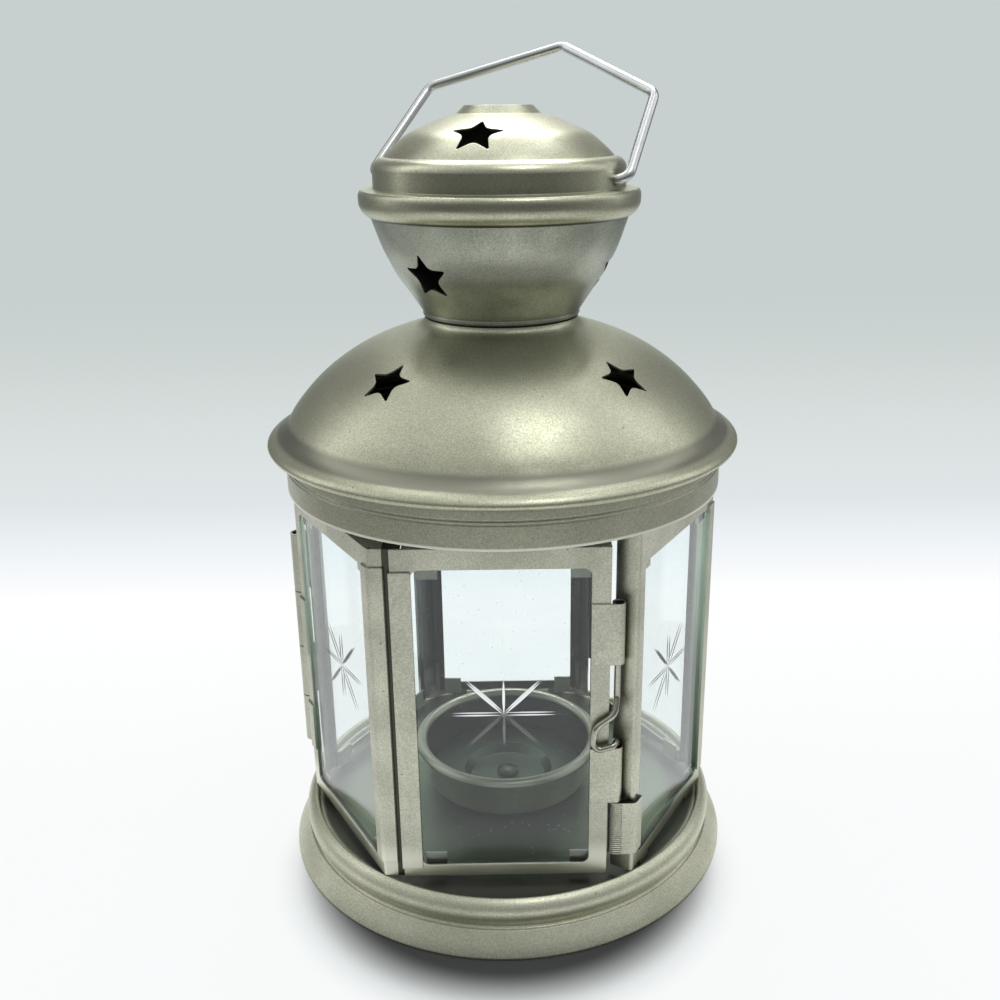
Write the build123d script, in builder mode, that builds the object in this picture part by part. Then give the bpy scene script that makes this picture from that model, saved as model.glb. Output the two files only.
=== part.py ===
from build123d import *
from math import asin, cos, radians, sin
import os

os.makedirs("parts", exist_ok=True)

# A six-sided lantern of pressed sheet and glass for one tea light, in millimetres.
# The axis of the lantern is upright at x = 0, y = 0, it stands on z = 0 and its door faces -Y.

# Sheet, glass and wire
sheet = 0.5
pan_sheet = 0.6
glass = 2.0
overrun = 6.0
slot_gap = 0.1
lay_gap = 0.05
swing_gap = 0.3

# Six sides round the chamber: three wider plain plates and three bent plates between them
corner_radius = 59.0
wide_side_angle = 68.4
turn_count = 3
bend_radius = 0.9
side_height = 103.3
leaf_lift = 0.2
leaf_drop = 8.5
leaf_return = 6.0
seam_flange = 8.0
hinge_flange = 5.3

# Base pan, wider than the corners, with a sunk floor and a boss
base_flare = 6.0
lip_height = 14.7
lip_curl = 1.3
floor_drop = 1.9
boss_radius = 19.2
boss_top_radius = 17.6
boss_rise = 1.65

# Windows, the same in every side, by what is left round them
window_side = 3.53
window_rise = 3.4
window_drop = 5.6
window_corner = 2.0
window_shift = 0.7

# Plain plates, measured along the side from the seam corner or back from the other one
plate_start = 5.3
plate_inset = 6.93
recess_start = 3.9
strip_start = 4.9
strip_rise = 2.7
strip_drop = 6.0
band_rise = 4.5
band_drop = 4.8

# Panes and the clips that hold them
pane_margin = 1.65
clip_width = 5.6
clip_inset = 2.9
clip_length = 6.0
clip_height = 8.8

# Tabs through the floor and the top plate
tab_width = 5.0
tab_inset = 5.15
tab_fold = 3.0

# Rolled knuckles and pins of the hinges
hinge_inset = 3.9
hinge_rise = 2.6
hinge_radius = 2.3
hinge_bore = 1.8
pin_clearance = 0.05
pin_recess = 0.8

# Rolled knuckles of the latch, flush with their straps, and the flange bent back behind them
latch_inset = 4.87
latch_radius = 1.7
latch_bore = 1.2
latch_flange = 5.45
latch_flange_drop = 3.6

# Latch bolt, a bent wire that drops through the knuckles
bolt_wire = 0.85
bolt_inset = 2.4
bolt_engagement = 7.0
bolt_lift = 7.95
bolt_turn_run = 1.6
bolt_bends = [3.0, 3.5, 4.5, 2.2, 1.6, 1.1, 1.1]
loop_reach = 6.3
loop_rise = 2.7

# Candle dish
dish_radius = 27.7
dish_wall_radius = 24.4
dish_foot_radius = 23.5
dish_depth = 13.0
dish_rim_drop = 2.6
well_radius = 13.4
well_depth = 2.2
well_slope = 2.2
rivet_head_radius = 3.2
rivet_head_side = 1.2
rivet_head_height = 2.0
rivet_shank_radius = 1.6
rivet_tail_height = 1.0

# Top plate, roof collar and roof dome, with heights from the tops of the sides
top_plate_ledge = 3.3
collar_fit = 0.6
collar_drop = 5.3
crease_rises = [1.15, 2.15]
crease_depth = 0.2
crease_half_width = 0.3
flare_rise = 4.9
bead_overhang = 4.5
bead_rise = 5.7
roof_height = 33.6
neck_radius = 20.5
neck_ledge = 2.1
stand_inset = 1.1

# Chimney bowl and cap, each height from the one below
bowl_top_radius = 33.5
bowl_height = 25.9
flange_overhang = 3.0
flange_height = 7.2
band_inset = 0.9
band_height = 4.8
cap_height = 13.0
knob_radius = 10.8
knob_top_radius = 8.7
knob_height = 2.0

# Punched stars
star_tip_radius = 7.0
star_tip_fillet = 0.35
star_valley_radius = 3.2
star_valley_fillet = 2.2
star_tip_count = 5
roof_star_azimuths = [-130.9, -45.4, 47.0, 139.0]
bowl_star_azimuths = [-130.2, -10.2, 109.8]
cap_star_azimuths = [-103.3, 18.1, 138.1]

# Carrying bail, leaning back as it rests
bail_wire = 1.3
bail_azimuth = -29.3
bail_lean = 45.0
bail_pivot_rise = 2.3
bail_end_inset = 3.1
bail_right_reach = 3.3
bail_left_reach = 8.1
bail_right_bend = (34.2, 28.3)
bail_apex = (1.9, 46.0)
bail_left_bend = (-35.0, 31.9)
bail_foot_fillet = 2.8
bail_bend_fillet = 3.6

# Knuckles, as shares of the height of the leaf, and the finger loop, as shares of its own room
hinge_plain_shares = [(0.663, 0.8501), (0.3036, 0.4737)]
hinge_bent_shares = [(0.4769, 0.6598), (0.1418, 0.3004)]
latch_door_shares = [(0.6638, 0.8404), (0.2368, 0.4091)]
latch_keeper_shares = [(0.0655, 0.2336)]
loop_shares = [
    (0.1, 0.8, 0.43), (0.86, 0.95, 0.29), (1.0, 1.0, 0.083), (0.78, 1.0, 0.012), (0.14, 0.96, 0.058),
]
loop_entry_share = 0.083

# Profiles, as shares of the room between two named radii and two named heights
skirt_shares = [(1.0, 0.045), (0.87, 0.15), (0.59, 0.31), (0.36, 0.43)]
groove_shares = [(0.36, 0.43), (0.215, 0.462), (0.22, 0.50)]
ring_shares = [
    (0.22, 0.50), (0.344, 0.60), (0.41, 0.71), (0.39, 0.82),
    (0.28, 0.91), (0.12, 0.975), (0.0, 1.0),
]
curl_shares = [(1.0, 1.0), (0.46, 0.8), (0.2, 0.4), (0.0, 0.0)]
boss_side_shares = [(1.0, 0.0), (0.55, 0.12), (0.3, 0.88), (0.0, 1.0)]
rim_shares = [
    (0.93, 0.05), (1.0, 0.35), (0.9, 0.75), (0.62, 0.98), (0.36, 0.96), (0.1, 0.7), (0.0, 0.25),
]
flare_shares = [(0.0, 0.0), (0.2, 0.35), (0.66, 0.65), (1.0, 0.88)]
bead_shares = [
    (0.9679, 0.0), (0.992, 0.0179), (0.9995, 0.0446), (0.9874, 0.0729), (0.9622, 0.0967),
    (0.9335, 0.1146),
]
dome_shares = [
    (0.9335, 0.1146), (0.906, 0.1399), (0.8739, 0.1875), (0.8463, 0.247), (0.7789, 0.3661),
    (0.6718, 0.5149), (0.528, 0.6637), (0.3725, 0.7824), (0.2064, 0.8717), (0.0583, 0.933),
]
neck_shares = [(0.0583, 0.933), (0.0241, 0.953), (0.0057, 0.9762), (0.0, 1.0)]
foot_shares = [(0.0077, 0.0174), (0.0346, 0.0386), (0.0269, 0.0637)]
bowl_shares = [
    (0.0269, 0.0637), (0.16, 0.165), (0.3323, 0.297), (0.5185, 0.43), (0.6623, 0.567),
    (0.7885, 0.7), (0.8915, 0.838), (1.0, 1.0),
]
flange_shares = [(0.0, 0.0), (0.66, 0.2), (0.96, 0.45), (1.0, 0.68), (0.93, 0.86), (0.72, 0.95)]
shoulder_shares = [(1.0, 0.0), (0.9776, 0.1), (0.9252, 0.18), (0.8579, 0.215)]
cap_dome_shares = [
    (0.8579, 0.215), (0.7772, 0.354), (0.683, 0.492), (0.5693, 0.638), (0.3764, 0.785),
    (0.2014, 0.9), (0.0, 1.0),
]
roof_star_height_share = 0.689
bowl_star_height_share = 0.456
cap_star_height_share = 0.57

# Sizes that follow from the others
narrow_side_angle = 360 / turn_count - wide_side_angle
side_turn = (wide_side_angle + narrow_side_angle) / 2
wide_chord = 2 * corner_radius * sin(radians(wide_side_angle / 2))
narrow_chord = 2 * corner_radius * sin(radians(narrow_side_angle / 2))
wide_distance = corner_radius * cos(radians(wide_side_angle / 2))
narrow_distance = corner_radius * cos(radians(narrow_side_angle / 2))
plate_end = wide_chord - plate_inset
hinge_roll = (wide_chord - hinge_inset, hinge_rise, hinge_radius, hinge_bore)
latch_roll = (wide_chord - latch_inset, 2 * sheet - latch_radius, latch_radius, latch_bore)

base_radius = corner_radius + base_flare
lip_radius = corner_radius - slot_gap
floor_radius = lip_radius - lip_curl
floor_height = lip_height - floor_drop
boss_height = floor_height + boss_rise
well_floor = boss_height + lay_gap
dish_floor_height = well_floor + well_depth
dish_rim_height = dish_floor_height + dish_depth

plate_top = lip_height + side_height
leaf_bottom = lip_height + leaf_lift
leaf_top = plate_top - leaf_drop
window_width = narrow_chord - 2 * window_side
window_bottom = leaf_bottom + window_rise
window_height = leaf_top - window_drop - window_bottom
window_middle = window_bottom + window_height / 2
strip_span = (leaf_bottom + strip_rise, leaf_top - strip_drop)
band_span = (leaf_bottom + band_rise, leaf_top - band_drop)
pane_width = window_width + 2 * pane_margin
pane_bottom = leaf_bottom + sheet + swing_gap
pane_top = leaf_top - sheet - swing_gap
clip_spacing = window_width - 2 * clip_inset
tab_spacing = window_width - 2 * tab_inset

collar_radius = corner_radius + collar_fit
collar_bottom = plate_top - collar_drop
flare_start = plate_top + flare_rise
top_plate_hole = wide_distance - top_plate_ledge
bead_radius = collar_radius + bead_overhang
bead_bottom = plate_top + bead_rise
roof_top = bead_bottom + roof_height
bowl_top = roof_top + bowl_height
flange_radius = bowl_top_radius + flange_overhang
cap_band_radius = bowl_top_radius - band_inset
cap_band_bottom = bowl_top + flange_height
cap_band_top = cap_band_bottom + band_height
knob_base = cap_band_top + cap_height
cap_top = knob_base + knob_height
bail_pivot_height = cap_band_bottom + bail_pivot_rise


def leaf_spans(shares):
    """Turn shares of the leaf's height into heights."""
    return [tuple(leaf_bottom + share * (leaf_top - leaf_bottom) for share in pair) for pair in shares]


hinge_plain_spans = leaf_spans(hinge_plain_shares)
hinge_bent_spans = leaf_spans(hinge_bent_shares)
latch_door_spans = leaf_spans(latch_door_shares)
latch_keeper_spans = leaf_spans(latch_keeper_shares)


def side_plane(azimuth, distance):
    """Stand a plane on one side: x runs anticlockwise along it, y is up and z points outward."""
    outward = Vector(cos(radians(azimuth)), sin(radians(azimuth)), 0)
    along = Vector(-outward.Y, outward.X, 0)
    return Plane(origin=outward * distance, x_dir=along, z_dir=outward)


def corner(azimuth):
    """Give the place of an upright corner of the hexagon."""
    return Vector(corner_radius * cos(radians(azimuth)), corner_radius * sin(radians(azimuth)), 0)


def on_wide_side(azimuth, place, rise=0):
    """Give a point by its place from the seam corner of a wide side and its rise out of that side."""
    start = corner(azimuth - wide_side_angle / 2)
    end = corner(azimuth + wide_side_angle / 2)
    outward = Vector(cos(radians(azimuth)), sin(radians(azimuth)), 0)
    return start + (end - start).normalized() * place + outward * rise


def scaled(shares, low_radius, high_radius, low_height, high_height):
    """Turn shares into radii and heights between the named ones."""
    width = high_radius - low_radius
    height = high_height - low_height
    return [(low_radius + share * width, low_height + rise * height) for share, rise in shares]


def moved_inward(points, thickness):
    """Move a wall's points inward so that the wall keeps one thickness round its bends."""
    runs = [(Vector(*end) - Vector(*start)).normalized() for start, end in zip(points, points[1:])]
    sides = [Vector(-run.Y, run.X) for run in runs]
    pairs = list(zip([sides[0]] + sides, sides + [sides[-1]]))
    shifts = [(first + second) * (thickness / (1 + first.dot(second))) for first, second in pairs]
    return [Vector(*point) + shift for point, shift in zip(points, shifts)]


def turned_sheet(runs, thickness):
    """Turn sheet of one thickness about the axis; each run is a smooth stretch of its outer side."""
    outer = runs[0] + [point for run in runs[1:] for point in run[1:]]
    inner = moved_inward(outer, thickness)
    with BuildSketch(Plane.XZ) as section:
        with BuildLine():
            first = 0
            for run in runs:
                last = first + len(run) - 1
                for side in (outer, inner):
                    stretch = side[first:last + 1]
                    if len(stretch) > 2:
                        Spline(*stretch)
                    else:
                        Line(*stretch)
                first = last
            Line(outer[0], inner[0])
            Line(outer[-1], inner[-1])
        make_face()
    revolve(section.sketch, axis=Axis.Z)


def strip(plane, along, height, depth, mode=Mode.ADD):
    """Add a flat strip to a side, given by its two ends along, up and out of that side's plane."""
    with BuildSketch(plane.offset(depth[0])) as outline:
        with Locations(((along[0] + along[1]) / 2, (height[0] + height[1]) / 2)):
            Rectangle(along[1] - along[0], height[1] - height[0])
    extrude(outline.sketch, amount=depth[1] - depth[0], mode=mode)


def bent_strip(points, height, thickness, side):
    """Add an upright strip bent round corners, with its thickness on one side of the points."""
    with BuildSketch(Plane.XY.offset(height[0])) as outline:
        with BuildLine():
            path = FilletPolyline(*points, radius=bend_radius)
            offset(path, amount=thickness, side=side)
        make_face()
    extrude(outline.sketch, amount=height[1] - height[0])


def knuckle(azimuth, span, roll):
    """Roll a tube beside a wide side, from one height to another."""
    place, rise, radius, _ = roll
    with BuildSketch(Plane.XY.offset(span[0])) as ring:
        with Locations(on_wide_side(azimuth, place, rise)):
            Circle(radius)
    extrude(ring.sketch, amount=span[1] - span[0])


def knuckle_bores(azimuth, spans, roll):
    """Open the bore through the knuckles of one corner."""
    place, rise, _, bore_radius = roll
    for span in spans:
        with BuildSketch(Plane.XY.offset(span[0])) as bore:
            with Locations(on_wide_side(azimuth, place, rise)):
                Circle(bore_radius)
        extrude(bore.sketch, amount=span[1] - span[0], mode=Mode.SUBTRACT)


def window(plane, middle):
    """Cut the window through one side, with its middle at a place along it."""
    with BuildSketch(plane.offset(-overrun / 2)) as opening:
        with Locations((middle, window_middle)):
            RectangleRounded(window_width, window_height, window_corner)
    extrude(opening.sketch, amount=overrun, mode=Mode.SUBTRACT)


def clips(plane, bottom, outer_face):
    """Fold four clips behind the pane, two from below and two from above."""
    back = outer_face - sheet - glass - lay_gap
    for middle in (-clip_spacing / 2, clip_spacing / 2):
        along = (middle - clip_width / 2, middle + clip_width / 2)
        strip(plane, along, (bottom, bottom + sheet), (back - sheet, outer_face))
        strip(plane, along, (bottom, bottom + clip_length), (back - sheet, back))
        strip(plane, along, (leaf_top - sheet, leaf_top), (back - sheet, outer_face))
        strip(plane, along, (leaf_top - clip_height, leaf_top), (back - sheet, back))


def fixing_tabs(plane, outer_face):
    """Run tabs down through the floor and up through the top plate, and fold their ends inward."""
    floor_under = floor_height - pan_sheet - lay_gap
    plate_over = plate_top + sheet + lay_gap
    inner_face = outer_face - sheet
    for middle in (-tab_spacing / 2, tab_spacing / 2):
        along = (middle - tab_width / 2, middle + tab_width / 2)
        strip(plane, along, (floor_under - sheet, lip_height + sheet), (inner_face, outer_face))
        strip(plane, along, (floor_under - sheet, floor_under), (inner_face - tab_fold, outer_face))
        strip(plane, along, (plate_top - sheet, plate_over + sheet), (inner_face, outer_face))
        strip(plane, along, (plate_over, plate_over + sheet), (inner_face - tab_fold, outer_face))


def tab_slots(side_azimuths, distance, outer_face, height):
    """Cut the slots that the fixing tabs of some sides pass through."""
    for azimuth in side_azimuths:
        plane = side_plane(azimuth, distance)
        for middle in (-tab_spacing / 2, tab_spacing / 2):
            half = tab_width / 2 + slot_gap
            along = (middle - half, middle + half)
            depth = (outer_face - sheet - slot_gap, outer_face + slot_gap)
            strip(plane, along, height, depth, Mode.SUBTRACT)


def star_cuts(azimuths, wall, height_share):
    """Punch a ring of stars square through a turned wall, each with one tip up the slope."""
    low_height = wall[0][1]
    star_height = low_height + height_share * (wall[-1][1] - low_height)
    below = [point for point in wall if point[1] <= star_height][-1]
    above = [point for point in wall if point[1] > star_height][0]
    share = (star_height - below[1]) / (above[1] - below[1])
    star_radius = below[0] + share * (above[0] - below[0])
    for azimuth in azimuths:
        outward = Vector(cos(radians(azimuth)), sin(radians(azimuth)), 0)
        along = Vector(-outward.Y, outward.X, 0)
        up_slope = (outward * (above[0] - below[0]) + Vector(0, 0, above[1] - below[1])).normalized()
        centre = outward * star_radius + Vector(0, 0, star_height)
        face = Plane(origin=centre, x_dir=along, z_dir=along.cross(up_slope))
        with BuildSketch(face) as star:
            with BuildLine():
                points = []
                for index in range(2 * star_tip_count):
                    reach = star_valley_radius if index % 2 else star_tip_radius
                    angle = radians(90 + 180 / star_tip_count * index)
                    points.append((reach * cos(angle), reach * sin(angle)))
                Polyline(*points, close=True)
            make_face()
            tips = star.vertices().sort_by_distance((0, 0, 0))[-star_tip_count:]
            fillet(tips, radius=star_tip_fillet)
            valleys = star.vertices().sort_by_distance((0, 0, 0))[:star_tip_count]
            fillet(valleys, radius=star_valley_fillet)
        extrude(star.sketch, amount=overrun / 2, both=True, mode=Mode.SUBTRACT)


# Azimuths of the middles of the sides
door_azimuth = -90
wide_azimuths = [door_azimuth + 360 / turn_count * turn for turn in range(turn_count)]
narrow_azimuths = [azimuth + 360 / turn_count / 2 for azimuth in wide_azimuths]
fixed_wide_azimuths = wide_azimuths[1:]
fixed_narrow_azimuths = narrow_azimuths[:-1]

# Base pan: skirt, rounded ring, rolled lip, sunk floor and a raised boss for the dish
skirt = scaled(skirt_shares, lip_radius, base_radius, 0, lip_height)
groove = scaled(groove_shares, lip_radius, base_radius, 0, lip_height)
ring = scaled(ring_shares, lip_radius, base_radius, 0, lip_height)
curl = scaled(curl_shares, floor_radius, lip_radius, floor_height, lip_height)
boss = scaled(boss_side_shares, boss_top_radius, boss_radius, floor_height, boss_height)
with BuildPart() as base_pan:
    edge = [(base_radius, 0), skirt[0]]
    floor_line = [curl[-1], boss[0]]
    boss_line = [boss[-1], (rivet_shank_radius, boss_height)]
    turned_sheet([edge, skirt, groove, ring, curl, floor_line, boss, boss_line], pan_sheet)
    with BuildSketch(Plane.XY) as hem:
        Circle(base_radius)
        Circle(base_radius - 2 * pan_sheet, mode=Mode.SUBTRACT)
    extrude(hem.sketch, amount=pan_sheet)
    slot_height = (floor_height - overrun, floor_height + slot_gap)
    tab_slots(fixed_narrow_azimuths, narrow_distance, 0, slot_height)
    tab_slots(fixed_wide_azimuths, wide_distance, sheet, slot_height)
base_pan.part.label = "base_pan"
export_step(base_pan.part, "parts/base_pan.step")

# Candle dish: a cup with a nearly upright wall, a rolled rim and a shallow well
with BuildPart() as candle_dish:
    rim_low = dish_rim_height - dish_rim_drop
    rim = scaled(rim_shares, dish_wall_radius, dish_radius, rim_low, dish_rim_height)
    wall_line = [rim[-1], (dish_foot_radius, dish_floor_height + sheet)]
    floor_line = [wall_line[-1], (well_radius, dish_floor_height + sheet)]
    well_side = [floor_line[-1], (well_radius - well_slope, well_floor + sheet)]
    well_line = [well_side[-1], (rivet_shank_radius + lay_gap, well_floor + sheet)]
    turned_sheet([rim, wall_line, floor_line, well_side, well_line], sheet)
candle_dish.part.label = "candle_dish"
export_step(candle_dish.part, "parts/candle_dish.step")

# Dish rivet: a domed head in the well, a shank through dish and boss, and a spread tail
with BuildPart() as dish_rivet:
    head_seat = well_floor + sheet + lay_gap
    tail_seat = boss_height - pan_sheet - lay_gap
    shank = rivet_shank_radius - lay_gap
    with BuildSketch(Plane.XZ) as rivet_section:
        with BuildLine():
            Line((0, head_seat + rivet_head_height), (0, tail_seat - rivet_tail_height))
            Line((0, tail_seat - rivet_tail_height), (rivet_head_radius, tail_seat - rivet_tail_height))
            Line((rivet_head_radius, tail_seat - rivet_tail_height), (rivet_head_radius, tail_seat))
            Line((rivet_head_radius, tail_seat), (shank, tail_seat))
            Line((shank, tail_seat), (shank, head_seat))
            Line((shank, head_seat), (rivet_head_radius, head_seat))
            head_edge = (rivet_head_radius, head_seat + rivet_head_side)
            Line((rivet_head_radius, head_seat), head_edge)
            dome_rise = rivet_head_height - rivet_head_side
            dome_radius = (rivet_head_radius ** 2 / dome_rise + dome_rise) / 2
            half_angle = asin(rivet_head_radius / dome_radius) / 2
            dome_centre = head_seat + rivet_head_height - dome_radius
            head_middle = (dome_radius * sin(half_angle), dome_centre + dome_radius * cos(half_angle))
            head_top = (0, head_seat + rivet_head_height)
            ThreePointArc(head_edge, head_middle, head_top)
        make_face()
    revolve(rivet_section.sketch, axis=Axis.Z)
dish_rivet.part.label = "dish_rivet"
export_step(dish_rivet.part, "parts/dish_rivet.step")


def bent_frame(azimuth, fixed, spans, roll, flange, strap):
    """Make a narrow side: a plate with a flange at each end, its band, knuckle straps and knuckles."""
    plane = side_plane(azimuth, narrow_distance)
    before = azimuth - side_turn
    after = azimuth + side_turn
    first_corner = corner(azimuth - narrow_side_angle / 2)
    last_corner = corner(azimuth + narrow_side_angle / 2)
    bottom = lip_height if fixed else leaf_bottom
    top = plate_top if fixed else leaf_top
    flange_end = on_wide_side(before, wide_chord - flange[0], -flange[1])
    seam_end = on_wide_side(after, seam_flange)
    window_start = plane.from_local_coords((-window_width / 2, 0, 0))
    window_stop = plane.from_local_coords((window_width / 2, 0, 0))
    with BuildPart() as frame:
        bent_strip([flange_end, first_corner, last_corner, seam_end], (bottom, top), sheet, Side.LEFT)
        window(plane, 0)
        band_end = on_wide_side(after, recess_start)
        bent_strip([window_stop, last_corner, band_end], band_span, sheet, Side.RIGHT)
        strap_start = on_wide_side(before, roll[0])
        for span in spans:
            bent_strip([strap_start, first_corner, window_start], span, strap, Side.RIGHT)
            knuckle(before, span, roll)
        knuckle_bores(before, spans, roll)
        clips(plane, bottom, 0)
        if fixed:
            fixing_tabs(plane, 0)
        else:
            half = narrow_chord / 2 - bend_radius
            strip(plane, (-half, half), (leaf_top - sheet, leaf_top), (-leaf_return, 0))
            seam_plane = side_plane(after, wide_distance)
            seam_ends = (-wide_chord / 2 + bend_radius, -wide_chord / 2 + seam_flange)
            strip(seam_plane, seam_ends, (leaf_top - sheet, leaf_top), (-leaf_return, -sheet / 2))
    return frame.part


def plain_frame(azimuth, fixed, spans, roll):
    """Make a wide side: a flat plate laid on the flanges, its seam strip and its knuckles."""
    plane = side_plane(azimuth, wide_distance)
    bottom = lip_height if fixed else leaf_bottom
    top = plate_top if fixed else leaf_top
    start = -wide_chord / 2
    window_start = -window_shift - window_width / 2
    window_stop = -window_shift + window_width / 2
    with BuildPart() as frame:
        strip(plane, (start + plate_start, start + plate_end), (bottom, top), (0, sheet))
        window(plane, -window_shift)
        strip(plane, (start + strip_start, window_start), strip_span, (sheet, 2 * sheet))
        strip(plane, (start + strip_start, start + plate_start), strip_span, (0, sheet))
        for span in spans:
            strip(plane, (window_stop, start + roll[0]), span, (sheet, 2 * sheet))
            knuckle(azimuth, span, roll)
        knuckle_bores(azimuth, spans, roll)
        clips(plane, bottom, sheet)
        if fixed:
            fixing_tabs(plane, sheet)
        else:
            return_start = start + seam_flange + swing_gap
            return_ends = (return_start, start + plate_end)
            strip(plane, return_ends, (leaf_top - sheet, leaf_top), (-leaf_return, sheet))
    return frame.part


def pane(azimuth, distance):
    """Make a flat pane that lies behind a side, given the distance of its front face."""
    with BuildPart() as plate:
        along = (-pane_width / 2, pane_width / 2)
        strip(side_plane(azimuth, distance), along, (pane_bottom, pane_top), (-glass, 0))
    return plate.part


# Frames and panes, two to each of the three seamed pairs
left_azimuth = narrow_azimuths[-1]
bent_names = {"right": narrow_azimuths[0], "rear": narrow_azimuths[1], "left": left_azimuth}
plain_names = {"door": wide_azimuths[0], "rear_right": wide_azimuths[1], "rear_left": wide_azimuths[2]}
for name, azimuth in bent_names.items():
    if name == "right":
        flange = (latch_flange, latch_flange_drop)
        frame_part = bent_frame(azimuth, True, latch_keeper_spans, latch_roll, flange, 2 * sheet)
    else:
        flange = (hinge_flange, 0)
        frame_part = bent_frame(azimuth, name != "left", hinge_bent_spans, hinge_roll, flange, sheet)
    frame_part.label = name + "_frame"
    export_step(frame_part, "parts/" + name + "_frame.step")
    pane_part = pane(azimuth, narrow_distance - sheet)
    pane_part.label = name + "_pane"
    export_step(pane_part, "parts/" + name + "_pane.step")
for name, azimuth in plain_names.items():
    if name == "door":
        frame_part = plain_frame(azimuth, False, latch_door_spans, latch_roll)
    else:
        frame_part = plain_frame(azimuth, True, hinge_plain_spans, hinge_roll)
    frame_part.label = name + "_frame"
    export_step(frame_part, "parts/" + name + "_frame.step")
    pane_part = pane(azimuth, wide_distance)
    pane_part.label = name + "_pane"
    export_step(pane_part, "parts/" + name + "_pane.step")


def hinge_pin(azimuth):
    """Make the pin that runs through the knuckles of one hinge, sunk a little at both ends."""
    spans = hinge_plain_spans + hinge_bent_spans
    low = min(span[0] for span in spans) + pin_recess
    high = max(span[1] for span in spans) - pin_recess
    with BuildPart() as pin:
        with BuildSketch(Plane.XY.offset(low)) as pin_end:
            with Locations(on_wide_side(azimuth, hinge_roll[0], hinge_rise)):
                Circle(hinge_bore - pin_clearance)
        extrude(pin_end.sketch, amount=high - low)
        chamfer(pin.edges().filter_by(GeomType.CIRCLE), length=pin_recess / 2)
    return pin.part


leaf_hinge_pin = hinge_pin(plain_names["rear_left"])
leaf_hinge_pin.label = "leaf_hinge_pin"
export_step(leaf_hinge_pin, "parts/leaf_hinge_pin.step")
rear_hinge_pin = hinge_pin(plain_names["rear_right"])
rear_hinge_pin.label = "rear_hinge_pin"
export_step(rear_hinge_pin, "parts/rear_hinge_pin.step")

# Latch bolt: a wire in the door's two knuckles with a finger loop between them
with BuildPart() as latch_bolt:
    bolt_place, bolt_rise = latch_roll[:2]
    upright = on_wide_side(door_azimuth, bolt_place, bolt_rise)
    loop_low = latch_door_spans[1][1]
    loop_room = latch_door_spans[0][0] - loop_low
    loop_points = []
    for reach_share, rise_share, height_share in loop_shares:
        place = bolt_place - reach_share * loop_reach
        side_point = on_wide_side(door_azimuth, place, bolt_rise + rise_share * loop_rise)
        loop_points.append(side_point + Vector(0, 0, loop_low + height_share * loop_room))
    with BuildLine() as bolt_path:
        FilletPolyline(
            upright + Vector(0, 0, latch_door_spans[0][1] - bolt_inset),
            upright + Vector(0, 0, latch_door_spans[0][0] - bolt_lift - bolt_turn_run),
            *loop_points,
            upright + Vector(0, 0, loop_low + loop_entry_share * loop_room),
            upright + Vector(0, 0, latch_keeper_spans[0][1] - bolt_engagement),
            radius=bolt_bends,
        )
    with BuildSketch(Plane(origin=bolt_path.line @ 0, z_dir=bolt_path.line % 0)):
        Circle(bolt_wire)
    sweep()
latch_bolt.part.label = "latch_bolt"
export_step(latch_bolt.part, "parts/latch_bolt.step")

# Top plate: a ring that stands on the fixed sides and takes their upper tabs
with BuildPart() as top_plate:
    with BuildSketch(Plane.XY.offset(plate_top)) as plate_ring:
        Circle(collar_radius - sheet - lay_gap)
        Circle(top_plate_hole, mode=Mode.SUBTRACT)
    extrude(plate_ring.sketch, amount=sheet)
    slot_height = (plate_top - slot_gap, plate_top + overrun)
    tab_slots(fixed_narrow_azimuths, narrow_distance, 0, slot_height)
    tab_slots(fixed_wide_azimuths, wide_distance, sheet, slot_height)
top_plate.part.label = "top_plate"
export_step(top_plate.part, "parts/top_plate.step")

# Roof collar: a hoop round the tops of the sides, pinched over the top plate and flared above
with BuildPart() as roof_collar:
    collar_points = [(collar_radius, collar_bottom)]
    for rise in crease_rises:
        height = plate_top + rise
        collar_points.append((collar_radius, height - crease_half_width))
        collar_points.append((collar_radius - crease_depth, height))
        collar_points.append((collar_radius, height + crease_half_width))
    collar_points.append((collar_radius, flare_start))
    flare_radius = neck_radius + bead_shares[0][0] * (bead_radius - neck_radius)
    flare = scaled(flare_shares, collar_radius, flare_radius, flare_start, bead_bottom)
    straight_runs = [list(pair) for pair in zip(collar_points, collar_points[1:])]
    upright_end = [flare[-1], (flare_radius, bead_bottom)]
    turned_sheet(straight_runs + [flare, upright_end], sheet)
roof_collar.part.label = "roof_collar"
export_step(roof_collar.part, "parts/roof_collar.step")

# Roof dome: a rolled bead, a domed shell with punched stars and a neck turned in to a ledge
with BuildPart() as roof_dome:
    bead = scaled(bead_shares, neck_radius, bead_radius, bead_bottom, roof_top)
    dome = scaled(dome_shares, neck_radius, bead_radius, bead_bottom, roof_top)
    neck = scaled(neck_shares, neck_radius, bead_radius, bead_bottom, roof_top)
    ledge = [neck[-1], (neck_radius - neck_ledge, roof_top)]
    bead_seat = [(bead[0][0] - sheet, bead_bottom), bead[0]]
    turned_sheet([bead_seat, bead, dome, neck, ledge], sheet)
    star_cuts(roof_star_azimuths, dome, roof_star_height_share)
roof_dome.part.label = "roof_dome"
export_step(roof_dome.part, "parts/roof_dome.step")

# Chimney bowl: a ring that stands on the ledge, a foot and a flaring shell with punched stars
with BuildPart() as chimney_bowl:
    foot = scaled(foot_shares, neck_radius, bowl_top_radius, roof_top, bowl_top)
    bowl = scaled(bowl_shares, neck_radius, bowl_top_radius, roof_top, bowl_top)
    stand = [(neck_radius - stand_inset, roof_top), (neck_radius - stand_inset, foot[0][1])]
    foot_step = [stand[-1], foot[0]]
    turned_sheet([stand, foot_step, foot, bowl], sheet)
    star_cuts(bowl_star_azimuths, bowl, bowl_star_height_share)
chimney_bowl.part.label = "chimney_bowl"
export_step(chimney_bowl.part, "parts/chimney_bowl.step")

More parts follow.
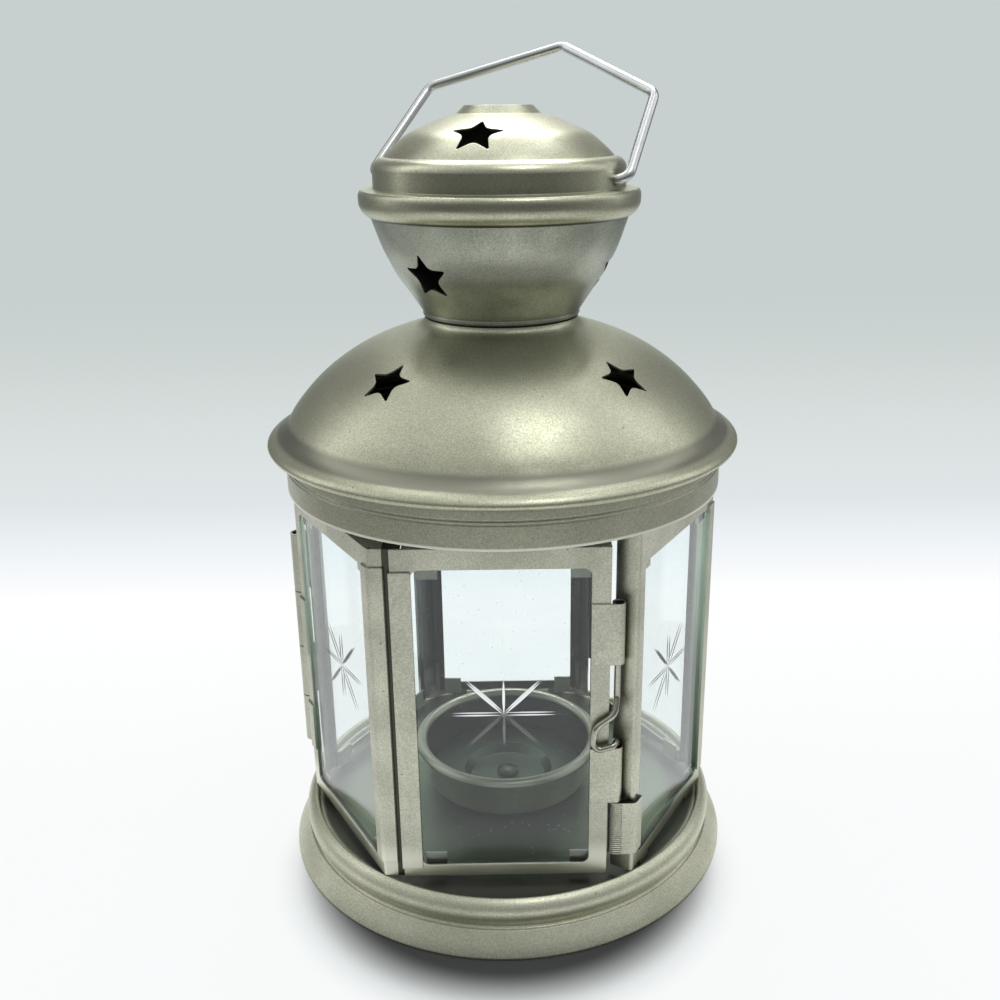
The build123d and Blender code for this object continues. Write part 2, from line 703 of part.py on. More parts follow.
# Chimney cap: a rounded flange, an upright band with the bail's holes, a dome and a flat knob
with BuildPart() as chimney_cap:
    flange = scaled(flange_shares, bowl_top_radius, flange_radius, bowl_top, cap_band_bottom)
    ledge = [flange[-1], (cap_band_radius, cap_band_bottom)]
    band = [ledge[-1], (cap_band_radius, cap_band_top)]
    shoulder_line = scaled(shoulder_shares, knob_radius, cap_band_radius, cap_band_top, knob_base)
    cap_dome = scaled(cap_dome_shares, knob_radius, cap_band_radius, cap_band_top, knob_base)
    cap_dome[-1] = (knob_radius, knob_base)
    knob_side = [cap_dome[-1], (knob_top_radius, cap_top)]
    knob_face = [knob_side[-1], (0, cap_top)]
    turned_sheet([flange, ledge, band, shoulder_line, cap_dome, knob_side, knob_face], sheet)
    star_cuts(cap_star_azimuths, cap_dome, cap_star_height_share)
    with BuildSketch(side_plane(bail_azimuth, 0)) as bail_hole:
        with Locations((0, bail_pivot_height)):
            Circle(bail_wire + pin_clearance)
    extrude(bail_hole.sketch, amount=base_radius, both=True, mode=Mode.SUBTRACT)
chimney_cap.part.label = "chimney_cap"
export_step(chimney_cap.part, "parts/chimney_cap.step")

# Bail: one wire bent to a peak, with its ends turned in through the holes of the band
with BuildPart() as bail:
    axis_way = Vector(cos(radians(bail_azimuth)), sin(radians(bail_azimuth)), 0)
    back_way = Vector(-axis_way.Y, axis_way.X, 0)
    rise_way = back_way * sin(radians(bail_lean)) + Vector(0, 0, cos(radians(bail_lean)))
    pivot = Vector(0, 0, bail_pivot_height)
    end_place = cap_band_radius - bail_end_inset
    bail_route = [
        (end_place, 0), (cap_band_radius + bail_right_reach, 0), bail_right_bend, bail_apex,
        bail_left_bend, (-cap_band_radius - bail_left_reach, 0), (-end_place, 0),
    ]
    bail_points = [pivot + axis_way * along + rise_way * up for along, up in bail_route]
    bail_fillets = [bail_foot_fillet] + [bail_bend_fillet] * (len(bail_route) - 4) + [bail_foot_fillet]
    with BuildLine() as bail_path:
        FilletPolyline(*bail_points, radius=bail_fillets)
    with BuildSketch(Plane(origin=bail_path.line @ 0, z_dir=bail_path.line % 0)):
        Circle(bail_wire)
    sweep()
bail.part.label = "bail"
export_step(bail.part, "parts/bail.step")

# Where the joints turn and slide, for whoever sets them
leaf_axis = on_wide_side(plain_names["rear_left"], hinge_roll[0], hinge_rise)
print("leaf hinge axis", leaf_axis.X, leaf_axis.Y)
print("bolt lift", bolt_lift)
print("bail axis", axis_way.X, axis_way.Y, bail_pivot_height)
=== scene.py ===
import bpy
from math import cos, pi, radians, sin
from mathutils import Matrix, Vector


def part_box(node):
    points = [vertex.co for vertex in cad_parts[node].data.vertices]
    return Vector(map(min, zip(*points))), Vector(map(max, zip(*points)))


# A punched tin lantern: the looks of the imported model, its camera, backdrop and light
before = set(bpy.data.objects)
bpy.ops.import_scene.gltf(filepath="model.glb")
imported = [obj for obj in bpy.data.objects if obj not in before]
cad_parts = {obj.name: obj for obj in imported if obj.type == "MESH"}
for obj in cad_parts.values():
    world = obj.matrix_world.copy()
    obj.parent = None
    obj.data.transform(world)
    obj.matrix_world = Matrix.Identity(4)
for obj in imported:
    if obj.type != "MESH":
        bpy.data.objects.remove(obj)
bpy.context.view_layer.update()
MM = 0.001
WHITE = (1.0, 1.0, 1.0)


# Node helper
class Nodes:
    """Builds the node tree of one material, or of the world, by name."""

    def __init__(self, name, world=False):
        self.block = bpy.data.worlds.new(name) if world else bpy.data.materials.new(name)
        self.block.use_nodes = True
        self.tree = self.block.node_tree
        self.tree.nodes.clear()
        self.place = self.add("TexCoord").outputs["Generated" if world else "Object"]
        self.x, self.y, self.z = self.add("SeparateXYZ", Vector=self.place).outputs

    def put(self, node, key, value):
        """Links an input to a socket, or sets it to a number, a vector or a colour."""
        socket = node.inputs[key]
        if isinstance(value, bpy.types.NodeSocket):
            self.tree.links.new(value, socket)
        elif socket.type == "RGBA":
            socket.default_value = (*value, 1.0)
        else:
            socket.default_value = value

    def add(self, kind, *numbered, **named):
        """Adds a node. Names in small letters are its settings, all others are its inputs."""
        node = self.tree.nodes.new("ShaderNode" + kind)
        inputs = dict(enumerate(numbered))
        for key, value in named.items():
            if key[0].islower():
                setattr(node, key, value)
            else:
                inputs[key.replace("_", " ")] = value
        for key, value in inputs.items():
            self.put(node, key, value)
        return node

    def out(self, kind, *numbered, **named):
        """Adds a node and gives its first output."""
        return self.add(kind, *numbered, **named).outputs[0]

    def math(self, operation, first, second=0.0, clamp=False):
        return self.out("Math", first, second, operation=operation, use_clamp=clamp)

    def size(self, value):
        """The value without its sign."""
        return self.math("ABSOLUTE", value)

    def minus(self, first, second):
        return self.math("SUBTRACT", first, second)

    def product(self, first, *others):
        for other in others:
            first = self.math("MULTIPLY", first, other)
        return first

    def largest(self, first, *others):
        for other in others:
            first = self.math("MAXIMUM", first, other)
        return first

    def vector(self, operation, first, second=(0.0, 0.0, 0.0)):
        """One step of vector sums, which gives a number for a dot product or a distance."""
        node = self.add("VectorMath", first, second, operation=operation)
        return node.outputs["Value" if operation in ("DOT_PRODUCT", "DISTANCE") else "Vector"]

    def normal(self):
        return self.add("NewGeometry").outputs["Normal"]

    def from_axis(self, spot=(0.0, 0.0)):
        """How far a point lies, in plan, from the upright line through the spot."""
        return self.vector("DISTANCE", self.out("CombineXYZ", X=self.x, Y=self.y), (*spot, 0.0))

    def fit(self, value, low, high, to_low=0.0, to_high=1.0):
        """Goes smoothly from to_low, where the value equals low, to to_high, where it equals high."""
        return self.out("MapRange", value, low, high, to_low, to_high, interpolation_type="SMOOTHSTEP")

    def between(self, value, low, high, rise, fall):
        """1 between low and high, with soft ends of the widths rise and fall inside them."""
        return self.product(self.fit(value, low, low + rise), self.fit(value, high, high - fall))

    def blend(self, factor, first, second, kind="MIX"):
        """Blends two colours."""
        node = self.add("Mix", data_type="RGBA", blend_type=kind)
        for key, value in ((0, factor), (6, first), (7, second)):
            self.put(node, key, value)
        return node.outputs[2]

    def darken(self, colour, share):
        """A colour times a share of light."""
        grey = self.out("CombineColor", Red=share, Green=share, Blue=share)
        return self.blend(1.0, colour, grey, "MULTIPLY")

    def noise(self, scale, detail, rough):
        return self.out("TexNoise", Scale=scale, Detail=detail, Roughness=rough, Vector=self.place)

    def specks(self, scale, share, channel, strength=1.0):
        """Round specks in a share of the cells of a pattern, drawn by one channel of its colour."""
        core, edge = 0.08, 0.20
        cell = self.add("TexVoronoi", feature="F1", Scale=scale, Vector=self.place)
        draw = self.add("SeparateColor", Color=cell.outputs["Color"]).outputs[channel]
        chosen = self.math("GREATER_THAN", draw, 1.0 - share)
        return self.product(self.fit(cell.outputs["Distance"], core, edge, strength, 0.0), chosen)

    def bump(self, height, strength, distance, normal):
        return self.out("Bump", Strength=strength, Distance=distance, Height=height, Normal=normal)

    def mix(self, factor, first, second):
        """Mixes two shaders."""
        return self.out("MixShader", factor, first, second)

    def finish(self, shader, output="OutputMaterial"):
        """Sends the shader to the output and gives the finished material or world."""
        self.add(output, Surface=shader)
        return self.block


# Sheet metal: the scales of its patterns, in features per metre, and what each of them does
GRAIN, MOTTLE, SPECK_CELLS, SPECK_PATCHES, DENTS = 2600.0, 520.0, 520.0, 70.0, 30.0
GRAIN_SHADES, MOTTLE_SHADES = (0.84, 1.12), (0.975, 1.025)
GRAIN_DEPTH, GRAIN_STRENGTH = 0.1 * MM, 0.16
DENT_DEPTH = 1.2 * MM
ROUGH_SPREAD = 0.04
EDGE_RADIUS = 0.3 * MM
SPECK_SHARE = 0.16
SPECK_COLOUR = (0.06, 0.057, 0.045)
# The pale colour of edges, partly wear and partly a painted highlight
EDGE_WEAR_AND_HIGHLIGHT_COLOUR = (0.74, 0.73, 0.66)
# How far the painted shade in corners and folds reaches
CORNER_SHADE_REACH = 6.0 * MM


def speck_share(nodes, strength):
    """How dark the specks are, which gather in patches."""
    least_patch = 0.12
    patches = nodes.fit(nodes.noise(SPECK_PATCHES, 3.0, 0.6), 0.45, 0.62, least_patch, 1.0)
    return nodes.product(nodes.specks(SPECK_CELLS, SPECK_SHARE, channel=0), patches, strength)


def edge_wear_and_highlight_share(nodes, round_edge, mottle):
    """How pale the sheet is painted, in patches, where its rounded edge turns away from its face: partly
    bare wear, partly a painted highlight.
    """
    first_turn, full_turn, most, least_patch = 0.995, 0.86, 0.5, 0.4
    turn = nodes.vector("DOT_PRODUCT", round_edge, nodes.normal())
    patches = nodes.fit(mottle, 0.35, 0.6, least_patch, 1.0)
    return nodes.product(nodes.fit(turn, first_turn, full_turn, 0.0, most), patches)


def painted_corner_shade(nodes):
    """Painted shade: how much light is left in corners and folds, found by ambient occlusion."""
    closed, clear, darkest = 0.12, 0.72, 0.36
    hollow = nodes.add("AmbientOcclusion", samples=4, Distance=CORNER_SHADE_REACH).outputs["AO"]
    return nodes.fit(hollow, closed, clear, darkest, 1.0)


def tin(name, dark, light, rough, specks, clouds, dents=0.25, paints=(), relief=None):
    """Satin sheet: cloudy tone, fine grain, dark specks, soft dents, edges paled by wear and a painted
    highlight, and painted shade in corners and folds.
    """
    nodes = Nodes(name)
    cloud = nodes.noise(clouds, 3.0, 0.5)
    grain = nodes.noise(GRAIN, 2.0, 0.6)
    mottle = nodes.noise(MOTTLE, 3.0, 0.6)
    round_edge = nodes.out("Bevel", samples=4, Radius=EDGE_RADIUS)
    grain_shade = nodes.fit(grain, 0.34, 0.66, *GRAIN_SHADES)
    mottle_shade = nodes.fit(mottle, 0.3, 0.7, *MOTTLE_SHADES)
    tone = nodes.blend(nodes.fit(cloud, 0.32, 0.68), dark, light)
    tone = nodes.darken(tone, nodes.product(grain_shade, mottle_shade))
    tone = nodes.blend(speck_share(nodes, specks), tone, SPECK_COLOUR)
    # Pale edges: wear and a painted highlight
    tone = nodes.blend(edge_wear_and_highlight_share(nodes, round_edge, mottle), tone, EDGE_WEAR_AND_HIGHLIGHT_COLOUR)
    for paint in paints:
        tone = paint(nodes, tone)
    # Painted shade in corners and folds
    tone = nodes.darken(tone, painted_corner_shade(nodes))
    cloud_rough = nodes.fit(cloud, 0.3, 0.7, rough + ROUGH_SPREAD, rough - ROUGH_SPREAD)
    grain_rough = nodes.fit(grain, 0.3, 0.7, 0.04, -0.03)
    roughness = nodes.math("ADD", cloud_rough, grain_rough)
    bump = nodes.bump(grain, GRAIN_STRENGTH, GRAIN_DEPTH, round_edge)
    bump = nodes.bump(nodes.noise(DENTS, 2.0, 0.5), dents, DENT_DEPTH, bump)
    if relief:
        bump = relief(nodes, bump)
    shader = nodes.out("BsdfPrincipled", Base_Color=tone, Metallic=1.0, Roughness=roughness, Normal=bump)
    return nodes.finish(shader)


# Paints and reliefs of single pieces
def lowest(node):
    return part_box(node)[0].z


def highest(node):
    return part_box(node)[1].z


def painted_inner_shade(height, shade):
    """Painted shade on the inner side, which looks at a point on the axis, with painted light on its outer
    corners.
    """
    corner_start, corner_end, corner_gain = 46.0 * MM, 51.0 * MM, 9.0
    outer_facing, inner_facing = 0.15, -0.1
    painted_corner_light = tuple(min(1.0, corner_gain * channel) for channel in shade)

    def paint(nodes, tone):
        outward = nodes.vector("NORMALIZE", nodes.vector("SUBTRACT", nodes.place, (0.0, 0.0, height)))
        facing = nodes.vector("DOT_PRODUCT", outward, nodes.normal())
        inner = nodes.fit(facing, outer_facing, inner_facing)
        corner = nodes.fit(nodes.size(nodes.x), corner_start, corner_end)
        return nodes.blend(inner, tone, nodes.blend(corner, shade, painted_corner_light))

    return paint


def pan_floor_shade(nodes, tone):
    """Painted shade on the sunk floor of the pan, with a darker painted shadow ring at its edge."""
    edge, edge_fade = 57.5 * MM, 1.5 * MM
    ring_start, ring_fade = 46.0 * MM, 4.0 * MM
    floor_shade_colour, ring_shadow_colour = (0.18, 0.22, 0.158), (0.12, 0.122, 0.105)
    spread = nodes.from_axis()
    ring = nodes.between(spread, ring_start, edge, ring_fade, edge_fade)
    tone = nodes.blend(nodes.fit(spread, edge, edge - edge_fade), tone, floor_shade_colour)
    return nodes.blend(ring, tone, ring_shadow_colour)


def dish_rim_highlight(nodes, tone):
    """Painted light on the rolled rim of the candle dish, which shows paler than the rest of the dish."""
    start = highest("candle_dish") - 2.1 * MM
    return nodes.blend(nodes.fit(nodes.z, start, start + 1.0 * MM), tone, (0.36, 0.365, 0.29))


def collar_hem_highlight(nodes, tone):
    """A painted highlight along the lower hem of the collar."""
    top = lowest("roof_collar") + 0.5 * MM
    return nodes.blend(nodes.fit(nodes.z, top + 0.3 * MM, top), tone, (0.85, 0.85, 0.74))


def plate_foot_light(nodes, tone):
    """Painted light from the pan on the foot of a side plate, paler towards the pan."""
    top, fade = lowest("door_frame") + 4.9 * MM, 7.0 * MM
    return nodes.blend(nodes.fit(nodes.z, top + fade, top), tone, (0.82, 0.82, 0.70))


def seam_painted_shadow(nodes, tone):
    """Painted shadow on the flange behind the door's seam strip, dark so that the strip's edge stands out.
    """
    start, blur = -29.65 * MM, 0.08 * MM
    return nodes.blend(nodes.fit(nodes.x, start - blur, start + blur), tone, (0.09, 0.087, 0.07))


def bead_cove_shade(nodes, tone):
    """Painted shade in the cove between the roof's bead and its dome."""
    low = lowest("roof_dome") + 3.3 * MM
    high = low + 4.6 * MM
    low_fade, high_fade = 0.8 * MM, 1.6 * MM
    share = nodes.between(nodes.z, low, high, low_fade, high_fade)
    return nodes.blend(share, tone, (0.31, 0.31, 0.245))


def keeper_ribs(nodes, bump):
    """Fine ribs round the knuckle that keeps the bolt."""
    axis, radius = (28.3 * MM, -48.1 * MM), 2.3 * MM
    low, high, fade = 21.3 * MM, 36.8 * MM, 0.3 * MM
    pitch, depth, strength = 0.62 * MM, 0.22 * MM, 0.9
    wave = nodes.math("SINE", nodes.product(nodes.z, 2 * pi / pitch))
    near = nodes.fit(nodes.from_axis(axis), radius + fade, radius)
    share = nodes.product(nodes.between(nodes.z, low, high, fade, fade), near)
    return nodes.bump(wave, nodes.product(share, strength), depth, bump)


WARM_DARK, WARM_LIGHT = (0.50, 0.505, 0.378), (0.60, 0.60, 0.452)
# Colours of the painted shade on inner sides
INNER_SHADE, DIM_SHADE, DISH_INNER_SHADE = (0.10, 0.10, 0.085), (0.062, 0.074, 0.060), (0.08, 0.106, 0.078)
# The points on the lantern's axis that inner sides look at
OVER_DISH, ROOM_MIDDLE, UNDER_ROOF = 33.0 * MM, 63.0 * MM, 95.0 * MM
UNDER_CAP, OVER_BOWL = 160.0 * MM, 205.0 * MM
PLATE = {
    "dark": (0.50, 0.505, 0.41), "light": (0.59, 0.59, 0.482),
    "rough": 0.37, "specks": 0.8, "clouds": 60.0, "dents": 0.4,
}
# Painted shade on the inner sides of the plates
plate_inner_shade = painted_inner_shade(ROOM_MIDDLE, DIM_SHADE)

roof_tin = tin(
    "roof_tin", WARM_DARK, WARM_LIGHT, rough=0.38, specks=0.5, clouds=28.0,
    paints=[painted_inner_shade(UNDER_ROOF, INNER_SHADE), bead_cove_shade],
)
collar_tin = tin(
    "collar_tin", (0.38, 0.385, 0.295), (0.46, 0.46, 0.358), rough=0.38, specks=0.5, clouds=28.0,
    paints=[painted_inner_shade(UNDER_ROOF, INNER_SHADE), collar_hem_highlight],
)
bowl_tin = tin(
    "bowl_tin", (0.30, 0.315, 0.252), (0.48, 0.495, 0.415), rough=0.34, specks=0.3, clouds=45.0,
    paints=[painted_inner_shade(OVER_BOWL, INNER_SHADE)],
)
cap_tin = tin(
    "cap_tin", WARM_DARK, WARM_LIGHT, rough=0.34, specks=0.45, clouds=35.0,
    paints=[painted_inner_shade(UNDER_CAP, INNER_SHADE)],
)
base_tin = tin(
    "base_tin", (0.55, 0.555, 0.432), (0.65, 0.65, 0.512), rough=0.44, specks=0.45, clouds=40.0,
    paints=[pan_floor_shade],
)
# The candle dish's tin is darkened: painted shade inside the lantern
shaded_dish_tin = tin(
    "shaded_dish_tin", (0.23, 0.235, 0.175), (0.29, 0.295, 0.22), rough=0.36, specks=0.2, clouds=35.0,
    paints=[painted_inner_shade(OVER_DISH, DISH_INNER_SHADE), dish_rim_highlight],
)
plate_tin = tin("plate_tin", paints=[plate_inner_shade, plate_foot_light], **PLATE)
seam_tin = tin("seam_tin", paints=[plate_inner_shade, plate_foot_light, seam_painted_shadow], **PLATE)
keeper_tin = tin("keeper_tin", paints=[plate_inner_shade], relief=keeper_ribs, **PLATE)


# Wire
def wire(name, colour, rough, marks):
    """Drawn wire with faint marks along it, where marks is how many there are in a metre."""
    nodes = Nodes(name)
    mark = nodes.noise(marks, 3.0, 0.6)
    contrast = 0.12
    pale = tuple(min(1.0, (1 + contrast) * channel) for channel in colour)
    dull = tuple((1 - contrast) * channel for channel in colour)
    tone = nodes.blend(nodes.fit(mark, 0.25, 0.75), dull, pale)
    roughness = nodes.fit(mark, 0.3, 0.7, rough + ROUGH_SPREAD, rough - ROUGH_SPREAD)
    return nodes.finish(nodes.out("BsdfPrincipled", Base_Color=tone, Metallic=1.0, Roughness=roughness))


pin_steel = wire("pin_steel", (0.34, 0.33, 0.29), 0.4, 900.0)
latch_steel = wire("latch_steel", (0.44, 0.43, 0.37), 0.22, 700.0)
bail_steel = wire("bail_steel", (0.62, 0.635, 0.63), 0.3, 40.0)

# Glass
GLASS_TINT = (0.955, 1.0, 1.0)
GLASS_IOR = 1.45
DUST_COLOUR = (0.80, 0.86, 0.84)
# Painted shade on the panes' end faces
GLASS_EDGE_SHADE = (0.025, 0.030, 0.028)
# The cut star: the angle between its rays, the sine of half of that, and the rays' lengths and half widths
RAY_STEP = pi / 4
NEAR_RAY = 0.38
RAY_LENGTH, UPRIGHT_LENGTH = 13.6 * MM, 9.7 * MM
RAY_HALF, LEVEL_HALF = 0.36 * MM, 0.22 * MM
CUT_STRENGTH, CUT_ROUGH = 0.95, 0.3


def dust_film(nodes):
    """A thin haze and a few specks of dust, with their scales in features per metre."""
    haze_scale, haze_strength = 60.0, 0.014
    speck_scale, speck_share, speck_strength = 800.0, 0.07, 0.28
    haze = nodes.fit(nodes.noise(haze_scale, 4.0, 0.6), 0.35, 0.75, 0.0, haze_strength)
    specks = nodes.specks(speck_scale, speck_share, channel=1, strength=speck_strength)
    return nodes.math("ADD", haze, specks, clamp=True)


def cut_star(nodes, across, rise, lower):
    """The share of cut glass in a star of eight tapered rays, at a point across and above its middle.

    Each ray is widest halfway along. The upright rays are shorter and the level rays are thinner than the
    rest, and lower is the strength of the star's lower half.
    """
    reach = nodes.math("SQRT", nodes.math("ADD", nodes.product(across, across), nodes.product(rise, rise)))
    turn = nodes.math("DIVIDE", nodes.math("ARCTAN2", rise, across), RAY_STEP)
    off_ray = nodes.product(nodes.size(nodes.minus(turn, nodes.math("ROUND", turn))), RAY_STEP)
    side = nodes.product(reach, nodes.math("SINE", off_ray))
    upright = nodes.math("LESS_THAN", nodes.size(across), nodes.product(reach, NEAR_RAY))
    level = nodes.math("LESS_THAN", nodes.size(rise), nodes.product(reach, NEAR_RAY))
    length = nodes.minus(RAY_LENGTH, nodes.product(upright, RAY_LENGTH - UPRIGHT_LENGTH))
    widest = nodes.minus(RAY_HALF, nodes.product(level, RAY_HALF - LEVEL_HALF))
    share = nodes.math("MINIMUM", nodes.math("DIVIDE", reach, length), 1.0)
    half = nodes.product(share, nodes.minus(1.0, share), 4.0, widest)
    outside, inside = -0.03 * MM, 0.06 * MM
    upper_end, lower_start = -0.12 * MM, -0.9 * MM
    cut = nodes.fit(nodes.minus(half, side), outside, inside)
    return nodes.product(cut, nodes.fit(rise, upper_end, lower_start, 1.0, lower))


def pane_glass(pane, star, cut):
    """Clear glass with a little dust, painted dark shade on its end faces and a star cut in its front face.
    """
    nodes = Nodes(pane.replace("_pane", "_glass"))
    low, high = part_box(pane)
    middle = (low + high) / 2
    outward = Vector((middle.x, middle.y, 0.0)).normalized()
    facing = nodes.vector("DOT_PRODUCT", nodes.normal(), tuple(outward))
    along = nodes.vector("DOT_PRODUCT", nodes.place, (-outward.y, outward.x, 0.0))
    across = nodes.minus(along, star[0] * MM)
    rise = nodes.minus(nodes.z, middle.z + star[1] * MM)
    face_limit, dark_end, clear_end = 0.5, 40.0 * MM, 50.0 * MM
    front = nodes.math("GREATER_THAN", facing, face_limit)
    starred = nodes.product(cut_star(nodes, across, rise, cut["lower"]), front, CUT_STRENGTH)
    # Painted shade on the end faces, fading out towards the lantern's outer sides
    edge = nodes.math("LESS_THAN", nodes.size(facing), face_limit)
    edge = nodes.product(edge, nodes.fit(nodes.size(nodes.x), clear_end, dark_end))
    shader = nodes.out(
        "BsdfPrincipled", Base_Color=GLASS_TINT, Roughness=0.0, IOR=GLASS_IOR, Transmission_Weight=1.0
    )
    ground = nodes.out(
        "BsdfPrincipled", Base_Color=cut["colour"], Metallic=cut["metallic"], Roughness=CUT_ROUGH
    )
    shader = nodes.mix(dust_film(nodes), shader, nodes.out("BsdfDiffuse", Color=DUST_COLOUR))
    shader = nodes.mix(starred, shader, ground)
    shader = nodes.mix(edge, shader, nodes.out("BsdfDiffuse", Color=GLASS_EDGE_SHADE))
    in_shadow = nodes.add("LightPath").outputs["Is Shadow Ray"]
    return nodes.finish(nodes.mix(in_shadow, shader, nodes.out("BsdfTransparent", Color=GLASS_TINT)))


# Each star's middle lies this far along and above the middle of its pane, in millimetres
STARS = {
    "right_pane": (-2.6, 3.7), "rear_right_pane": (-0.6, 2.8), "rear_pane": (-2.6, 3.7),
    "rear_left_pane": (-0.6, 2.8), "left_pane": (1.9, 5.1), "door_pane": (-0.6, 1.2),
}
BRIGHT_CUT = {"colour": WHITE, "metallic": 1.0, "lower": 0.1}
# The side panes' star cuts are painted near black: painted shade in the cut lines
SHADED_CUT = {"colour": (0.02, 0.028, 0.028), "metallic": 0.0, "lower": 0.85}
glasses = {
    pane: pane_glass(pane, star, BRIGHT_CUT if pane == "door_pane" else SHADED_CUT)
    for pane, star in STARS.items()
}

# The look of each node, where the side plates that aren't named have plate_tin
looks = {
    "base_pan": base_tin, "candle_dish": shaded_dish_tin, "dish_rivet": shaded_dish_tin, "top_plate": shaded_dish_tin,
    "roof_collar": collar_tin, "roof_dome": roof_tin, "chimney_bowl": bowl_tin, "chimney_cap": cap_tin,
    "leaf_hinge_pin": pin_steel, "rear_hinge_pin": pin_steel, "latch_bolt": latch_steel, "bail": bail_steel,
    "right_frame": keeper_tin, "left_frame": seam_tin, **glasses,
}
for name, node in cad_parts.items():
    look = looks.get(name, plate_tin)
    if not node.material_slots:
        node.data.materials.append(look)
    for slot in node.material_slots:
        slot.material = look

# Camera: millimetres for its place and lens, degrees for its angles
CAMERA_PLACE = (1.614, -296.24, 209.10)
CAMERA_DOWN, CAMERA_TURN, CAMERA_ROLL = 19.481, -0.8, -0.458
camera = bpy.data.cameras.new("camera")
camera.lens = 39.77
camera.sensor_width = 36.0
camera.shift_x = -0.0244
eye = bpy.data.objects.new("camera", camera)
bpy.context.collection.objects.link(eye)
eye.matrix_world = (
    Matrix.Translation([length * MM for length in CAMERA_PLACE])
    @ Matrix.Rotation(radians(CAMERA_TURN), 4, "Z")
    @ Matrix.Rotation(radians(90 - CAMERA_DOWN), 4, "X")
    @ Matrix.Rotation(radians(CAMERA_ROLL), 4, "Z")
)
bpy.context.scene.camera = eye


# Floor and backdrop, in metres
def sweep():
    """A floor that curves up into a wall."""
    front, wall, half_width, radius, top, steps = -1.4, 1.05, 2.0, 0.42, 2.2, 24
    line = [(front, 0.0)]
    for step in range(steps + 1):
        angle = pi / 2 * step / steps
        line.append((wall - radius + radius * sin(angle), radius - radius * cos(angle)))
    line.append((wall, top))
    points = [(side, y, z) for y, z in line for side in (-half_width, half_width)]
    firsts = range(0, len(points) - 2, 2)
    mesh = bpy.data.meshes.new("backdrop")
    mesh.from_pydata(points, [], [(first, first + 1, first + 3, first + 2) for first in firsts])
    for face in mesh.polygons:
        face.use_smooth = True
    return mesh


# Each tone of the floor, painted shade that deepens towards the wall, and how far behind the lantern's axis
# it lies
FLOOR_SHADE_TONES = [
    (0.0, (0.95, 0.97, 0.97)), (0.165, WHITE), (0.222, (0.86, 0.905, 0.935)),
    (0.295, (0.745, 0.79, 0.80)), (0.524, (0.66, 0.71, 0.70)), (0.8, (0.575, 0.63, 0.622)),
]
SHADOW_MIDDLE = (0.0, -0.020)


def floor_shade_tones(nodes):
    """The floor's pale tone, with painted shade that deepens towards the wall."""
    ramp = nodes.add("ValToRGB", Fac=nodes.y)
    stops = ramp.color_ramp.elements
    for index, (back, shade) in enumerate(FLOOR_SHADE_TONES):
        stop = stops[index] if index < 2 else stops.new(back)
        stop.position = back
        stop.color = (*shade, 1.0)
    return ramp.outputs[0]


def glow_strength(nodes):
    """How bright the backdrop shows in metal: less at the sides, overhead and in front."""
    side_start, side_end, side_level = 0.20, 0.55, 0.32
    flank_start, flank_end, flank_back, flank_loss = 0.07, 0.16, 0.3, 0.25
    top_start, top_end, top_level = 0.55, 1.0, 0.55
    front_start, front_end, front_level = -0.28, -0.55, 0.08
    aside = nodes.size(nodes.x)
    beside = nodes.fit(aside, side_start, side_end, 1.0, side_level)
    flank = nodes.product(nodes.fit(aside, flank_start, flank_end), nodes.fit(nodes.y, flank_back, 0.0))
    overhead = nodes.fit(nodes.z, top_start, top_end, 1.0, top_level)
    ahead = nodes.fit(nodes.y, front_start, front_end, 1.0, front_level)
    return nodes.product(beside, nodes.minus(1.0, nodes.product(flank, flank_loss)), overhead, ahead)


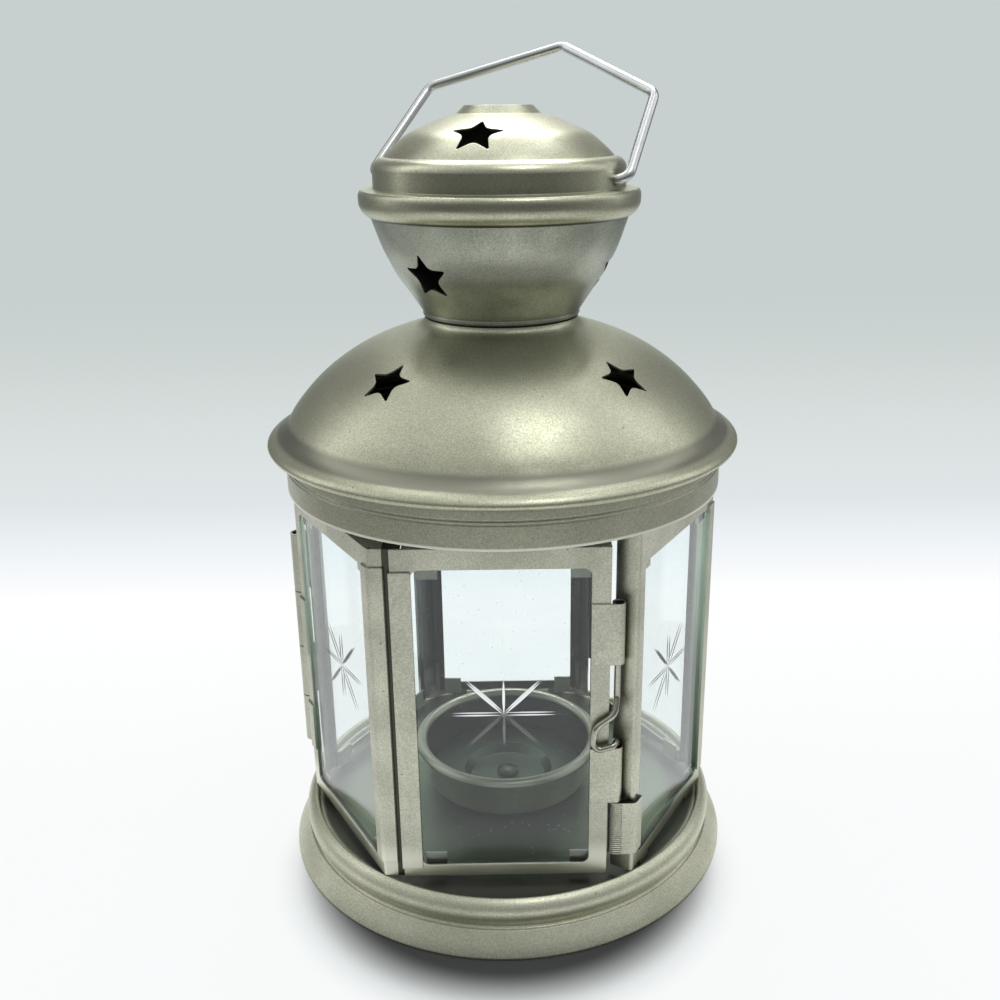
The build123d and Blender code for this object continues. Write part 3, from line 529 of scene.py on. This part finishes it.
def backdrop_paper():
    """Pale paper that shows at full strength, and keeps the real shadow under and close round the pan,
    darkened further there by a painted shadow.
    """
    wall_start, wall_white = 0.36, 0.75
    dark_radius, dark_end, darkest = 0.0485, 0.0635, 0.08
    shadow_radius, shadow_end, clearest = 0.056, 0.070, 0.93
    back_start, back_end = 0.03, 0.2
    nodes = Nodes("backdrop")
    path = nodes.add("LightPath").outputs
    paint = nodes.blend(nodes.fit(nodes.z, wall_start, wall_white), floor_shade_tones(nodes), WHITE)
    near = nodes.from_axis(SHADOW_MIDDLE)
    # A painted shadow that darkens the paper under the pan
    under = nodes.fit(near, dark_radius, dark_end, darkest, 1.0)
    matt = nodes.out("BsdfDiffuse", Color=nodes.darken(paint, under))
    straight = nodes.largest(path["Is Camera Ray"], path["Is Transmission Ray"])
    shine = nodes.out("Emission", Color=paint, Strength=nodes.largest(straight, glow_strength(nodes)))
    seen = nodes.largest(path["Is Camera Ray"], path["Is Glossy Ray"], path["Is Transmission Ray"])
    around = nodes.fit(near, shadow_radius, shadow_end, 0.0, clearest)
    clear = nodes.largest(around, nodes.fit(nodes.y, back_start, back_end))
    return nodes.finish(nodes.mix(nodes.product(seen, clear), matt, shine))


backdrop = bpy.data.objects.new("backdrop", sweep())
bpy.context.collection.objects.link(backdrop)
backdrop.data.materials.append(backdrop_paper())


# Light
def studio_sky():
    """Soft light from the room, stronger from above and from behind the lantern."""
    below, above, below_level, above_level = -0.05, 0.62, 0.2, 0.9
    front, middle, front_level = -0.9, 0.0, 0.45
    colour = (0.97, 0.99, 1.0)
    nodes = Nodes("studio", world=True)
    upward = nodes.fit(nodes.z, below, above, below_level, above_level)
    level = nodes.product(upward, nodes.fit(nodes.y, front, middle, front_level, 1.0))
    return nodes.finish(nodes.out("Background", Color=colour, Strength=level), "OutputWorld")


def softbox(name, place, target, size, power):
    """A rectangular lamp that looks at a point, in metres and watts."""
    lamp = bpy.data.lights.new(name, "AREA")
    lamp.shape = "RECTANGLE"
    lamp.size, lamp.size_y = size
    lamp.energy = power
    holder = bpy.data.objects.new(name, lamp)
    bpy.context.collection.objects.link(holder)
    aim = (Vector(target) - Vector(place)).to_track_quat("-Z", "Y")
    holder.matrix_world = Matrix.Translation(place) @ aim.to_matrix().to_4x4()


bpy.context.scene.world = studio_sky()
softbox("over", (0.22, -0.32, 0.95), target=(0, 0, 0.12), size=(0.3, 0.25), power=1.15)
softbox("behind", (0.0, 0.5, 0.95), target=(0, 0, 0.05), size=(0.7, 0.4), power=4.5)
softbox("left", (-0.8, 0.1, 0.5), target=(0, 0, 0.1), size=(0.25, 0.9), power=0.5)
softbox("right", (0.8, 0.2, 0.5), target=(0, 0, 0.1), size=(0.25, 0.9), power=0.5)

bpy.context.scene.view_settings.view_transform = "Standard"
